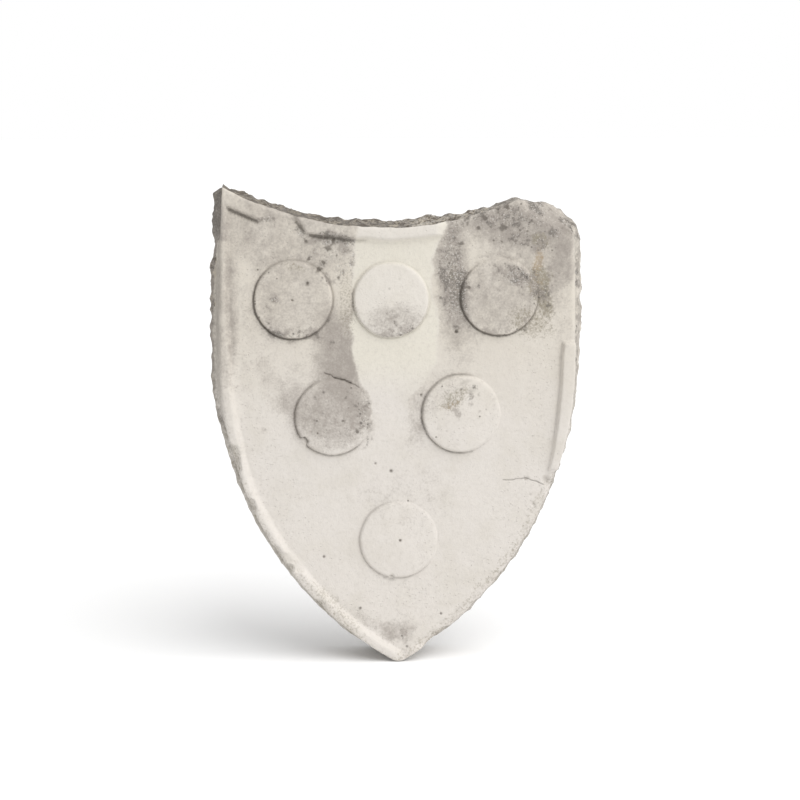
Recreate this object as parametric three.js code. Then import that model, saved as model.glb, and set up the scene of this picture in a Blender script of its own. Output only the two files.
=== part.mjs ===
// A stone shield of arms, carved from one block and made to be let into a wall. The heater-shaped face has a
// narrow raised border and six low roundels set three, two and one. The sides, the top and the back are left
// as the point chisel roughed them out, and the years have broken the face's right top corner, stripped long
// stretches of the border and chipped the lower right edge.
//
// Millimetres. +X runs to the right of someone facing the carving, +Z is up, and the carved face looks along
// -Y. The origin is on the flat bed at the back, behind the middle of the face, where the block meets its wall.
import * as THREE from 'three';

// The outline of the face
const halfWidth = 205.5; // at the shoulders, where the face is widest
const shoulderZ = 47;
const sideRadius = 410; // of the curves from the shoulders down to the point
const upperSideRadius = 4200; // the nearly straight sides above the shoulders
const pointRadius = 16;
const cornerZ = 252; // the left top corner
const topRadius = 390; // the hollow top edge
const topLowX = -15; // its lowest place
const topLowZ = 205;

// The corner that broke away at the right: the outline left there, and the hollow that slopes back from the face
const breakStartX = 137.5; // where it leaves the top edge
const breakEndZ = 190; // where it meets the right side
const breakRound = 42;
const scoop = { x: 242, z: 322, radius: 135.5, slope: 1.1 };

// Depths, counted forward from the bed
const fieldLevel = 70;
const crown = 3; // how far the middle of the field swells
const lipDepth = 9; // the dressed edge behind the face, before the rough stone starts

// The raised border
const borderHeight = 5;
const borderWidth = 13;
const borderRound = 4; // width of the rounding along its edges

// The roundels: centre and diameter
const roundels = [
  { x: -121, z: 122, diameter: 90 },
  { x: -9, z: 121.5, diameter: 87 },
  { x: 116, z: 124, diameter: 89 },
  { x: -76, z: -14.5, diameter: 88 },
  { x: 72.5, z: -11.5, diameter: 91 },
  { x: 0, z: -160, diameter: 91 },
];
const roundelHeight = 4.5;
const roundelEdge = 3.5; // radius of its worn edge
const roundelDome = 0.4;

// The rough stone
const flareSide = 14; // how far the rough sides stand out past the face
const flareLow = 9; // the same on the curves down to the point
const flareTop = 5;
const chiselPitch = 19;
const chiselDepth = 2.6;
const edgeLoss = 3; // worn off the broken edge at the lower right

const spacing = 10; // between stations along the outline
const roundelSides = 48;
const edgeSteps = 3; // facets across a roundel's worn edge

const step = (from, to, value) => THREE.MathUtils.smoothstep(value, from, to);
const between = (from, to, soft, value) => step(from - soft, from + soft, value)
  * (1 - step(to - soft, to + soft, value));

const sideX = (z) => {
  const rise = z - shoulderZ;
  const radius = rise > 0 ? upperSideRadius : sideRadius;
  return halfWidth - (radius - Math.sqrt(radius * radius - rise * rise));
};
const topZ = (x) => topLowZ + topRadius - Math.sqrt(topRadius ** 2 - (x - topLowX) ** 2);
const leftCorner = { x: -sideX(cornerZ), z: cornerZ };

// The outline as joined curves, clockwise as the viewer of the face sees it, starting at the left top corner.
// Each knows which edge it is, because the wear and the rough stone differ from edge to edge.
function outlineCurves() {
  const arc = (x, z, radius, from, to) => new THREE.EllipseCurve(x, z, radius, radius, from, to, to < from);
  const line = (x0, z0, x1, z1) => new THREE.LineCurve(new THREE.Vector2(x0, z0), new THREE.Vector2(x1, z1));
  const angle = (x, z, x1, z1) => Math.atan2(z1 - z, x1 - x);

  const topCentreZ = topLowZ + topRadius;
  const topAngle = (x, z) => angle(topLowX, topCentreZ, x, z) + 2 * Math.PI;
  const breakX = sideX(breakEndZ) - breakRound;
  const lowCentreX = halfWidth - sideRadius;
  const pointCentreZ = shoulderZ - Math.sqrt((sideRadius - pointRadius) ** 2 - lowCentreX ** 2);
  const pointAngle = angle(lowCentreX, shoulderZ, 0, pointCentreZ);
  const upperCentreX = halfWidth - upperSideRadius;
  const upperAngle = (z) => Math.asin((z - shoulderZ) / upperSideRadius);
  const breakStartZ = topZ(breakStartX);

  const top = arc(topLowX, topCentreZ, topRadius,
    topAngle(leftCorner.x, leftCorner.z), topAngle(breakStartX, breakStartZ));
  const breakTop = line(breakStartX, breakStartZ, breakX, breakEndZ + breakRound);
  const breakSide = arc(breakX, breakEndZ, breakRound, Math.PI / 2, 0);
  const rightUpper = arc(upperCentreX, shoulderZ, upperSideRadius, upperAngle(breakEndZ), 0);
  const rightLower = arc(lowCentreX, shoulderZ, sideRadius, 0, pointAngle);
  const point = arc(0, pointCentreZ, pointRadius, pointAngle, -Math.PI - pointAngle);
  const leftLower = arc(-lowCentreX, shoulderZ, sideRadius, -Math.PI - pointAngle, -Math.PI);
  const leftUpper = arc(-upperCentreX, shoulderZ, upperSideRadius, Math.PI, Math.PI - upperAngle(cornerZ));
  return [
    ['top', top],
    ['broken', breakTop],
    ['broken', breakSide],
    ['right', rightUpper],
    ['right', rightLower],
    ['point', point],
    ['left', leftLower],
    ['left', leftUpper],
  ];
}

// Stations along the outline: place, outward direction, distance walked and edge
function outlineStations() {
  const stations = [];
  let walked = 0;
  for (const [edge, curve] of outlineCurves()) {
    const length = curve.getLength();
    const count = Math.max(2, Math.round(length / spacing));
    for (let i = 0; i < count; i += 1) {
      const at = curve.getPointAt(i / count);
      stations.push({ edge, x: at.x, z: at.y, s: walked + (length * i) / count });
    }
    walked += length;
  }
  const total = stations.length;
  stations.forEach((station, i) => {
    const before = stations[(i + total - 1) % total];
    const after = stations[(i + 1) % total];
    const along = new THREE.Vector2(after.x - before.x, after.z - before.z).normalize();
    station.outX = -along.y;
    station.outZ = along.x;
    // distance from the sharp left corner, negative on the side before it
    station.fromCorner = station.s < walked / 2 ? station.s : station.s - walked;
    station.alongX = along.x;
    station.alongZ = along.y;
  });
  return stations;
}

// How much of the border still stands at a station, from 0 to 1
function borderLeft({ edge, x, z }) {
  if (edge === 'left') return 1;
  if (edge === 'top') return 1 - between(-141, -110, 5, x) - step(48, 62, x);
  if (edge === 'right') return between(-80, 70, 6, z);
  if (edge === 'point') return 1 - step(14, 24, x);
  return 0;
}

// How far the rough stone stands out past the face at a station. It dies away at the left corner and the point.
function flareAt({ edge, x, z, fromCorner }) {
  const clear = step(0, 34, Math.abs(fromCorner)) * (z > 0 ? 1 : step(4, 60, Math.abs(x)));
  if (edge === 'top') return flareTop * clear * (1 - step(60, 130, x));
  if (edge === 'broken') return flareSide * (1 - step(breakEndZ, breakEndZ + breakRound, z));
  return THREE.MathUtils.lerp(flareLow, flareSide, step(-60, 120, z)) * clear;
}

// Overlapping scoops of a point chisel, in rows that are set off from each other
const chisel = (s, row) => chiselDepth * (Math.abs(Math.sin((Math.PI * s) / chiselPitch + row * 1.9)) - 0.6)
  + chiselDepth * 0.5 * Math.sin(s / 41 + row * 2.3);

// What has worn off the outline at the lower right
const lossAt = ({ edge, z, s }) => (edge === 'right' ? 1 - step(-90, -60, z) : 0)
  * edgeLoss * (0.6 + 0.4 * Math.sin(s / 8.5) + 0.3 * Math.sin(s / 3.7));

// The field's level: a swell that dies away towards the edges, less the hollow of the broken corner
const swell = (x, z) => crown * Math.max(0, 1 - (x / halfWidth) ** 2) * Math.max(0, 1 - ((z + 10) / 290) ** 2);
const scooped = (x, z) => scoop.slope * Math.max(0, scoop.radius - Math.hypot(x - scoop.x, z - scoop.z));

// One ring around the block, offset outwards from the stations by offsetAt and at the level that levelAt gives.
// Next to the sharp left corner an inward offset is also slid along the edge, so that the ring doesn't cross.
function ring(stations, offsetAt, levelAt) {
  const cornerSlide = 1.66;
  const slideReach = 4.5;
  return stations.map((station) => {
    const offset = offsetAt(station);
    const inset = Math.max(0, -offset);
    const away = Math.abs(station.fromCorner);
    const near = inset > 0 ? Math.max(0, 1 - away / (slideReach * inset)) : 0;
    const atCorner = away === 0;
    const slide = atCorner ? 0 : Math.sign(station.fromCorner) * cornerSlide * inset * near * near;
    const reach = atCorner ? offset * Math.hypot(1, cornerSlide) : offset;
    const x = station.x + station.outX * reach + station.alongX * slide;
    const z = station.z + station.outZ * reach + station.alongZ * slide;
    return new THREE.Vector3(x, -levelAt(station, x, z), z);
  });
}

// A closed skin, put together ring by ring
class Skin {
  points = [];
  index = [];

  add(points) {
    const first = this.points.length;
    this.points.push(...points);
    return points.map((_, i) => first + i);
  }

  // between two rings of equal count, the second one further forward or further in
  band(a, b) {
    a.forEach((_, i) => {
      const j = (i + 1) % a.length;
      this.index.push(a[i], b[i], a[j], a[j], b[i], b[j]);
    });
  }

  fan(a, middle) {
    a.forEach((_, i) => this.index.push(a[i], middle, a[(i + 1) % a.length]));
  }

  // a sheet inside one ring and around others, facing forward or back
  sheet(outer, holes, forward) {
    const flat = (ids) => ids.map((id) => new THREE.Vector2(this.points[id].x, this.points[id].z));
    const ids = [...outer, ...holes.flat()];
    for (const [a, b, c] of THREE.ShapeUtils.triangulateShape(flat(outer), holes.map(flat))) {
      const [p, q, r] = [a, b, c].map((i) => this.points[ids[i]]);
      const turn = (q.x - p.x) * (r.z - p.z) - (q.z - p.z) * (r.x - p.x);
      const corners = (turn > 0) === forward ? [a, b, c] : [a, c, b];
      this.index.push(...corners.map((i) => ids[i]));
    }
  }

  geometry() {
    const geometry = new THREE.BufferGeometry().setFromPoints(this.points);
    geometry.setIndex(this.index);
    geometry.computeVertexNormals();
    return geometry;
  }
}

// Rings from the bed forward over the rough sides
function roughRings(stations) {
  const rows = [
    { level: 0, share: 0.72 },
    { level: 11, share: 0.95 },
    { level: 26, share: 1 },
    { level: 42, share: 0.82 },
    { level: 56, share: 0.5 },
  ];
  return rows.map(({ level, share }, row) => {
    const offsetAt = (at) => share * flareAt(at) + chisel(at.s, row) - 2 - lossAt(at);
    return ring(stations, offsetAt, (at, x, z) => Math.min(level, fieldLevel - 4 - scooped(x, z) * (level / fieldLevel)));
  });
}

// Rings over the dressed edge and the border, to where the field starts
function borderRings(stations) {
  const top = fieldLevel + borderHeight;
  const profile = [
    { inset: 0.4, level: () => top - lipDepth },
    { inset: 0, level: (left) => fieldLevel - 1.5 + (borderHeight - 0.5) * left },
    { inset: borderRound, level: (left) => fieldLevel + borderHeight * left },
    { inset: borderWidth - borderRound, level: (left) => fieldLevel + borderHeight * left },
    { inset: borderWidth, level: () => fieldLevel },
  ];
  const rings = profile.map(({ inset, level }) => ring(stations,
    (at) => -inset - lossAt(at),
    (at, x, z) => level(borderLeft(at)) - scooped(x, z)));

  // the last ring widens at the broken corner, to follow the ridge of its hollow
  const ridgeInset = 25;
  const widened = (at) => THREE.MathUtils.lerp(borderWidth + 3, ridgeInset,
    at.edge === 'broken' ? step(120, 160, at.x) : 0);
  rings.push(ring(stations, (at) => -widened(at) - lossAt(at),
    (at, x, z) => fieldLevel + swell(x, z) - scooped(x, z)));
  return rings;
}

// Rings up and over one roundel, from the field to its top
function roundelRings({ x, z, diameter }) {
  const radius = diameter / 2;
  const foot = fieldLevel + swell(x, z);
  const circle = (r, levelAt) => Array.from({ length: roundelSides }, (_, i) => {
    const turn = (-2 * Math.PI * i) / roundelSides;
    const px = x + r * Math.cos(turn);
    const pz = z + r * Math.sin(turn);
    return new THREE.Vector3(px, -levelAt(px, pz), pz);
  });
  const rings = [circle(radius, (px, pz) => fieldLevel + swell(px, pz))];
  for (let i = 0; i <= edgeSteps; i += 1) {
    const turn = (Math.PI / 2) * (i / edgeSteps);
    const level = foot + roundelHeight - roundelEdge * (1 - Math.sin(turn));
    rings.push(circle(radius - roundelEdge * (1 - Math.cos(turn)), () => level));
  }
  const middle = new THREE.Vector3(x, -(foot + roundelHeight + roundelDome), z);
  return { rings, middle };
}

function stoneGeometry() {
  const stations = outlineStations();
  const skin = new Skin();
  const rings = [...roughRings(stations), ...borderRings(stations)].map((points) => skin.add(points));
  for (let i = 0; i + 1 < rings.length; i += 1) {
    skin.band(rings[i], rings[i + 1]);
  }
  const holes = roundels.map((roundel) => {
    const { rings: circles, middle } = roundelRings(roundel);
    const ids = circles.map((points) => skin.add(points));
    for (let i = 0; i + 1 < ids.length; i += 1) {
      skin.band(ids[i], ids[i + 1]);
    }
    skin.fan(ids[ids.length - 1], skin.add([middle])[0]);
    return ids[0];
  });
  skin.sheet(rings[rings.length - 1], holes, true);
  skin.sheet(rings[0], [], false);
  return skin.geometry();
}

const paleStone = new THREE.MeshStandardMaterial({ color: 0xddd5ca, roughness: 0.9, metalness: 0 });
const shield = new THREE.Mesh(stoneGeometry(), paleStone);
shield.name = 'stone_shield';

const group = new THREE.Group();
group.add(shield);
export default group;
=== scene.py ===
import math
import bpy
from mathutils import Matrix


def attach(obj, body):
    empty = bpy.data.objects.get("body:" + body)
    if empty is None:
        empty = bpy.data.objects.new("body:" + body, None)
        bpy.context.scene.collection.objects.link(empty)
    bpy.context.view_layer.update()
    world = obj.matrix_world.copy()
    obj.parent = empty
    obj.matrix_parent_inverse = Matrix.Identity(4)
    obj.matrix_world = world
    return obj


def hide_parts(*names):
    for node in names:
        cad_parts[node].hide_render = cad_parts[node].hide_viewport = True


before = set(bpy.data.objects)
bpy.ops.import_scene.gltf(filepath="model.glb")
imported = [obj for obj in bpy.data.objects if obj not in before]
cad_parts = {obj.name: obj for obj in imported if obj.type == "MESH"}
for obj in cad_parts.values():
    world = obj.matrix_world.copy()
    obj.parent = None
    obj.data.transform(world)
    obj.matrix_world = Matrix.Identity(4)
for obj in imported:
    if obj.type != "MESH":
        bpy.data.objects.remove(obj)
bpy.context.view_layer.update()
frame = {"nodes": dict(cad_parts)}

from types import SimpleNamespace

import bpy
import numpy as np
from mathutils import Vector
from mathutils.geometry import delaunay_2d_cdt

print("frame loaded:", ", ".join(frame["nodes"]))

# Lengths are in millimetres until the mesh is made. x runs to the right across the face and z up it, and a
# level is counted forward from the flat bed at the back, so what is at level h lies at y = -h.


# Noise that comes out the same on every run

def scatter(ix, iy, iz, seed):  # a number from 0 to 1 for each whole-numbered place
    mixed = ix.astype(np.int64) * 374761393 + iy.astype(np.int64) * 668265263
    mixed = mixed + iz.astype(np.int64) * 1442695041 + seed * 974634777
    mixed = (mixed & 0xFFFFFFFF).astype(np.uint32)
    mixed = (mixed ^ (mixed >> np.uint32(13))) * np.uint32(1274126177)
    mixed = mixed ^ (mixed >> np.uint32(16))
    return mixed / 4294967295.0


def lumps(x, y, z, size, seed, layers=4):  # soft lumps from -1 to 1, with finer ones on the coarse ones
    total = 0
    for layer in range(layers):
        cells = [np.floor(v * 2 ** layer / size) for v in (x, y, z)]
        parts = [v * 2 ** layer / size - cell for v, cell in zip((x, y, z), cells)]
        eased = [part * part * (3 - 2 * part) for part in parts]
        for corner in range(8):
            steps = [(corner >> k) & 1 for k in range(3)]
            weight = 2 ** -layer
            for near, share in zip(steps, eased):
                weight = weight * (share if near else 1 - share)
            value = scatter(*[cell + near for cell, near in zip(cells, steps)], seed + layer)
            total = total + weight * (2 * value - 1)
    return total / (2 - 0.5 ** (layers - 1))


def patches(x, z, size, seed, layers=3):  # the same, on the face
    return lumps(x, np.zeros_like(x), z, size, seed, layers)


def layered(x, z, kinds):  # several kinds of lump added up, each given as height, size, seed and layers
    return sum(height * patches(x, z, *kind) for height, *kind in kinds)


def scoops(u, v, long, wide, turn, seed):
    # hollows of a point chisel packed side by side: 0 in the bottom of each, rising to the ridges between
    a = (u * math.cos(turn) + v * math.sin(turn)) / long
    b = (v * math.cos(turn) - u * math.sin(turn)) / wide
    cellA, cellB = np.floor(a), np.floor(b)
    zero = np.zeros_like(cellA)
    nearest = np.full(a.shape, 9.0)
    for i in (-1, 0, 1):
        for j in (-1, 0, 1):
            toA, toB = cellA + i, cellB + j
            midA = toA + 0.15 + 0.7 * scatter(toA, toB, zero, seed)
            midB = toB + 0.15 + 0.7 * scatter(toA, toB, zero, seed + 1)
            steep = 0.75 + 0.6 * scatter(toA, toB, zero, seed + 2)
            nearest = np.minimum(nearest, ((a - midA) ** 2 + (b - midB) ** 2) * steep)
    return np.minimum(nearest, 0.7)


def ease(low, high, value):  # 0 below low, 1 above high
    t = np.clip((value - low) / (high - low), 0, 1)
    return t * t * (3 - 2 * t)


def within(low, high, soft, value):  # 1 between low and high
    return ease(low - soft, low + soft, value) * (1 - ease(high - soft, high + soft, value))


def bend(value, places):  # a value that changes along an edge, through a few named places
    at, out = zip(*sorted(places.items()))
    return np.interp(value, at, out)


stoneShield = {
    # outline of the face
    "halfWidth": 205.5,  # at the shoulders
    "shoulderZ": 47,
    "sideRadius": 410,  # curves from the shoulders to the point
    "upperSideRadius": 4200,
    "pointRadius": 16,
    "cornerZ": 252,  # left top corner
    "topRadius": 390,  # hollow top edge
    "topLowX": -15,
    "topLowZ": 205,
    # right top corner, which has broken away
    "breakStartX": 137.5,
    "breakEndZ": 190,
    "breakRound": 42,
    "hollowX": 242,
    "hollowZ": 322,
    "hollowRadius": 135.5,
    "hollowSlope": 1.1,
    # levels
    "field": 70,
    "crown": 3,  # how far the middle of the field swells
    "crownZ": -10,  # where it swells most
    "crownReach": 290,  # how far above and below that the swell dies out
    "borderHeight": 5,
    "grooveDepth": 0.9,  # cut along the foot of the border
    # widths of the border, each by the place along its edge
    "leftWidth": {-260: 16, -185: 16.5, -105: 13.4, -20: 17.4, 40: 17, 110: 12, 250: 10.5},
    "rightWidth": {-80: 11.5, -40: 15, 0: 17, 50: 17.5, 75: 15},
    "topWidth": {-200: 19, -115: 19, -80: 16, -45: 16, -10: 19, 50: 17},
    "slopeWidth": {"left": 8.5, "right": 3.0, "top": 3.4},  # of the border's inner slope
    "grooveShare": {"left": 0.12, "right": 0.55, "top": 0.8},  # how deep the groove is beside each
    "leftCrumbled": (-205, -165),  # z, where the left border has partly crumbled away
    "topGap": (-158, -119),  # x, where a length of the top border has gone
    "washed": (-45, 46),  # x, where rain has softened the top border
    "topEnd": 50,  # x, past which none of it is left
    "rightStands": (-80, 70),  # z
    "pointStands": -287,  # z, below which the border has turned the point and goes up the right edge
    "leftShoulder": 5,  # how much further the rounded edge of the left border reaches, high up
    "shoulderSpan": (-20, 186),  # z, between which it does
    # rough sides: how far they stand out past the face, by z
    "flareLeft": {-300: 9, -60: 9, 60: 11, 100: 12.5, 140: 13, 160: 10.5, 177: 8, 200: 12.5, 235: 13.5},
    "flareRight": {-300: 9, -60: 9, 120: 14},
    "flareBroken": 14,
    "flareTop": 4.5,
    # and the share of that at each level
    "flareByLevel": {0: 0.72, 11: 0.95, 26: 1, 42: 0.88, 54: 0.68, 63: 0.42, 69: 0.16, 74: 0},
    "boulder": 5,  # height of the lumps along the top
    "boulderSize": 19,
    "cornerDrop": 1.5,  # how far the left top corner rounds off backwards
    "cornerReach": 16,
    # hollows of the point chisel on the sides, deep ones and small ones: length, width and slant in radians
    "scoops": (27, 15, 1.15),
    "scoopDepth": 6.5,
    "smallScoops": (10, 7, 0.6),
    "smallDepth": 1.6,
    "crumbDepth": 0.7,
    # how rough the sides are, from 0 to 1, by z
    "roughLeft": {-300: 0.3, -150: 0.4, 0: 0.5, 60: 0.75, 120: 1, 250: 1},
    "roughRight": {-300: 0.55, 0: 0.75, 200: 0.9},
    "roughStart": (1, 11),  # how far behind the face the rough stone starts and has its full depth
    "backArris": 2.2,  # how far the edge of the back has worn
    "backFurrow": 1.8,
    "backFurrows": (60, 13, 0.9),  # length, width and slant
    "raggedEdge": 1.7,  # how uneven the broken lower right edge is
    # unevenness of the face: height, size, seed and layers of each kind of lump
    "uneven": [(0.5, 80, 1, 4), (0.34, 17, 5, 3), (0.2, 5, 9, 2)],  # all over
    "grainy": [(0.55, 9, 13, 3), (0.35, 4, 17, 2)],  # where the top right has weathered
    "erodedX": (35, 80),  # where that starts and is full, going right
    "erodedZ": (130, 200),  # and going up
    "lumpy": [(0.9, 14, 103, 3)],  # along the lower left border
    "crumbly": [(0.45, 7, 105, 2), (0.25, 3.5, 107, 1)],  # there too, and in the scar at the right
    # spacing of points
    "stationGap": 1.9,
    "latticeX": (-210, 210),
    "latticeZ": (-310, 260),
    "latticeGap": 2.1,
    "backGap": 5.5,
    "backInset": 10,
    "borderInsets": [1.1, 2.2, 3.4, 4.7, 6.2, 7.8, 9.3, 10.6, 11.7, 12.8, 13.9, 15, 16.2, 17.4, 18.8, 20.3],
    "roundelSteps": [-7.5, -5.8, -4.3, -3.1, -2.1, -1.3, -0.6, -0.1, 0.4, 1.0, 1.8, 3.0],
    # rows of points over the sides, from 0 at the face to 1 at the bed
    "sideRows": [
        0.012, 0.028, 0.048, 0.072, 0.1, 0.135, 0.175,
        *[0.22 + 0.05 * row for row in range(15)],
        0.96, 0.985, 1.0,
    ],
}
shape = SimpleNamespace(**stoneShield)

# Three roundels in the upper row, two in the middle one and the lowest. For each: its place, its radius, the
# height and crispness of its edge, the direction in degrees in which it has worn down to the field, how far
# it has, and how dark its lower left edge is painted: painted shadow on the side turned from the lamp, with
# some dirt.
roundelKeys = ("x", "z", "radius", "height", "crisp", "wornTo", "worn", "soiled")
roundels = [SimpleNamespace(**dict(zip(roundelKeys, values))) for values in (
    (-121, 122, 45, 4.5, 1.0, 75, 0.2, 0.9),
    (-9, 121.5, 43.5, 4.3, 0.85, 50, 0.3, 0.5),
    (116, 124, 44.5, 4.5, 0.9, 70, 0.4, 0.9),
    (-76, -14.5, 44, 4.6, 0.9, 35, 0.9, 0.75),
    (72.5, -11.5, 45.5, 4.8, 1.0, 0, 0.8, 0.7),
    (0, -160, 45.5, 3.4, 0.5, 30, 0.7, 0.3),
)]

stoneWear = {
    # small hollows: x, z, half length, half width, tilt in degrees, depth
    "chips": [
        (-9, -207.5, 4.5, 2.4, -10, 2.2),  # and of the sixth
        (-16, -205, 2.5, 1.6, 0, 1.4),
        (82, 14.5, 7, 2.2, 10, 1.1),
        (76, 25, 8, 2.4, 20, 1.3),
        (-145, 121, 4.5, 2.6, 10, 1.0),
        (-105, 141.6, 2, 2, 0, 1.0),
        (174, -92, 8, 5, -50, 4.0),  # under the last of the border at the right
        (181, -100, 5, 3, -60, 2.5),
        (148.6, -89.4, 2.6, 1.7, 0, 1.6),
        (158, -120, 4, 1.7, -50, 1.3),
        (154.5, -108, 2.2, 1.5, 0, 1.1),
        (-42, 190, 7, 2.0, 0, 1.0),
        (194, 197, 11, 4, -35, 3.0),  # along the ridge of the broken corner
    ],
    # drill pricks and pits: x, z, radius, depth
    "pits": [
        (-122.2, 122.2, 1.5, 1.8),
        (1.5, -160.1, 1.9, 2.0),
        (-87.3, -179.2, 1.8, 1.5),
        (49.7, -249.6, 1.7, 1.5),
        (9.7, -288.9, 1.6, 1.3),
        (-9, -78.1, 2.3, 1.8),
        (10.8, -113.8, 1.4, 1.1),
        (25.8, 10.8, 1.6, 1.3),
        (66.1, 83.9, 1.8, 1.4),
        (-27, -69, 1.6, 1.0),
        (43, -38, 1.3, 1.0),
    ],
    # cracks: half width, depth and the corners they run through
    "cracks": [
        (0.9, 1.2, [(-85, 38), (-78.5, 35), (-72.7, 30.5)]),
        (1.5, 2.2, [(-74, 31.5), (-66, 29.5), (-62, 29), (-55, 25.8)]),
        (0.8, 0.8, [(-56, 26.3), (-51, 24), (-46, 20)]),
        (0.8, 0.8, [(122, -90), (137, -90), (148, -88.9), (158, -92), (170, -96)]),
    ],
    # pieces broken out of the roundels' edges: roundel, direction, half width in degrees, how far in
    "notches": [(3, -141, 8, 4.5), (5, -101, 4, 2.5)],
    # bites out of the left and right edges: z of the upper end, length, how far in at the upper end
    "bites": {
        "left": [
            (170, 60, 2.5),
            (-41, 62, 9.5),
            (-106, 34, 6.5),
            (-146, 16, 4),
            (-163, 30, 6),
            (-186, 16, 7),
            (-229, 20, 7),
        ],
        "right": [
            (-80, 26, 5),
            (-118, 14, 3),
            (-158, 22, 3.5),
            (-199, 18, 3),
            (-232, 20, 4),
            (-264, 36, 9.5),
        ],
    },
}


stoneStains = {
    # soft patches: x, z, half width, half height, tilt in degrees, strength
    "grey": [
        (-70, 62, 28, 52, 0, 0.75),  # left of the washed band
        (-60, 40, 16, 40, 0, 0.5),
        (-78, -10, 46, 42, 0, 0.66),
        (-46, -6, 14, 26, 0, 0.35),
        (-122, 6, 12, 40, 8, 0.3),
        (-140, 12, 13, 46, 24, 0.3),
        (-105, 48, 26, 16, 0, 0.25),
        (-121, 122, 48, 48, 0, 0.45),
        (-118, 195, 95, 40, -10, 0.47),
        (-172, 110, 38, 110, 0, 0.2),
        (-120, 225, 90, 14, -10, 0.3),
        (-3, 98, 34, 26, 0, 0.5),  # second roundel
        (60, 148, 20, 68, 0, 0.78),  # right of the washed band
        (140, 195, 50, 32, 0, 0.5),
        (-203, 110, 13, 110, 0, 0.7),
        (72, 70, 22, 34, 0, 0.33),
        (12, -112, 60, 36, 0, 0.2),
        (1, -255, 26, 22, 0, 0.12),
        (116, 124, 46, 46, 0, 0.55),
        (136, 148, 18, 12, -20, 0.5),
        (125, 212, 90, 26, -6, 0.6),
        (165, 165, 22, 60, 0, 0.35),
        (188, 170, 18, 36, 0, 0.65),
        (190, 120, 15, 60, 0, 0.3),
        (52, 14, 26, 22, 30, 0.3),
        (19, -14, 15, 42, 0, 0.42),
        (0, -272, 20, 15, 0, 0.5),
        (-30, -262, 40, 8, -38, 0.3),
    ],
    "lichen": [
        (-68, 172, 26, 32, 0, 0.6),
        (-50, 161, 5, 15, 0, 0.7),
        (-76, 191, 34, 6, -3, 0.8),
        (-66, 60, 16, 44, 0, 0.3),
        (-3, 97, 32, 23, 0, 0.38),
        (2, 84, 26, 11, 0, 0.25),
        (130, 205, 40, 26, 0, 0.3),
        (60, 152, 18, 64, 0, 0.8),
        (68, 138, 12, 22, 0, 0.6),
        (120, 222, 75, 16, -4, 0.45),
        (82, 212, 26, 14, 0, 0.5),
        (150, 200, 50, 24, -10, 0.35),
        (136, 148, 18, 12, -20, 0.8),
        (116, 124, 44, 44, 0, 0.28),
        (164, 142, 14, 32, 0, 0.6),
        (161, 184, 7, 9, 0, 0.7),
        (160, 229, 10, 9, -30, 0.95),  # on the broken corner
        (195, 204, 12, 5, -28, 0.95),
        (177, 195, 9, 4, 0, 0.8),
        (78, -2, 26, 24, 0, 0.25),
        (60, 3, 14, 9, 20, 0.2),
        (85, 18, 6, 3, 10, 0.9),
        (84, 7, 4, 4, 0, 0.8),
        (-121, 122, 44, 44, 0, 0.14),
        (-121, 88, 34, 10, 0, 0.4),
        (-76, -14, 40, 40, 0, 0.25),
        (-40, -12, 9, 30, 0, 0.6),
        (-57, -31, 7, 4, 0, 0.5),
        (-149, 217, 12, 4, -8, 0.8),
        (-111, 200, 8, 7, -40, 0.85),
        (-165, 208, 8, 5, 0, 0.4),
        (-144, 122, 6, 4, 0, 0.9),
        (-160, -27, 10, 5, -20, 0.4),
        (-1, -273, 12, 11, 0, 0.35),
    ],
    "olive": [
        (160.5, 187, 8, 9, 0, 0.95),
        (163, 142, 12, 18, 0, 0.9),
        (168, 120, 10, 18, 0, 0.8),
        (152, 92, 24, 16, -20, 0.5),
        (66, 140, 9, 18, 0, 0.7),
        (66, 7, 16, 9, 20, 0.5),
        (-60, 120, 8, 34, 0, 0.3),
        (-78, -238, 62, 8, -47, 0.25),
        (-119, 159, 10, 4, 0, 0.4),
    ],
    "rust": [(159, 166, 6, 15, 0, 0.8), (160, 140, 8, 14, 0, 0.4), (60, 1, 12, 5, 20, 0.35)],
    "darkSide": [(212, 191, 30, 3, 0, 0.9), (212, 151, 30, 3, 0, 0.9), (212, 138, 30, 3.5, 0, 0.9),
                 (212, 47, 30, 6, 0, 0.8), (205, -30, 30, 4, 0, 0.4)],
    "brownSide": [(-209, 160, 40, 14, 0, 0.9), (-209, 116, 40, 14, 0, 0.8), (-209, 250, 30, 20, 0, 0.5)],
    # single dark spots: x, z, radius
    "spots": [
        (-74.8, 189.5, 2.6),
        (-80.6, 180.7, 3.8),
        (-70.9, 172.8, 1.6),
        (-86.3, 165, 2.3),
        (-102.7, 169, 1.8),
        (-91.6, 157.6, 3.0),
        (-69, 147.4, 2.2),
        (-105.8, 189.5, 2.4),
        (-104.5, 141.9, 1.4),
        (-161, 157, 1.1),
        (99.3, 215, 2.6),
        (91.6, 203.7, 1.8),
        (120, 204, 4.4),
        (79, 215, 3),
        (124, 227, 3.2),
        (113.7, 226, 3.4),
        (153, 212.5, 1.3),
        (148, 199.5, 1.8),
        (139.5, 200.7, 1.4),
        (109, 189, 1.2),
        (118.5, 187.6, 1.1),
        (72.6, 185.7, 2.4),
        (58, 163, 1.5),
        (80.6, 135.7, 2.6),
        (66.8, 84.7, 2.6),
        (-48, -31, 1.8),
        (-65, -18, 1.4),
        (-94.6, -17.5, 1.3),
        (-94, -32, 1.5),
        (50, 21.5, 1.3),
        (94, -14.5, 1.3),
        (-44.5, -241, 1.5),
        (4, -276, 1.5),
    ],
    # edges of the pale band that rain has washed down the middle: x by z
    "bandLeft": {-24: -28.6, 5: -28.6, 21: -41, 51: -52.7, 95: -54.8, 139: -52.4, 203: -47.6},
    "bandRight": {-24: 9.6, 5: 9.6, 29: 33, 50: 43, 94: 46, 138: 38, 168: 38, 203: 54},
}


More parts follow.
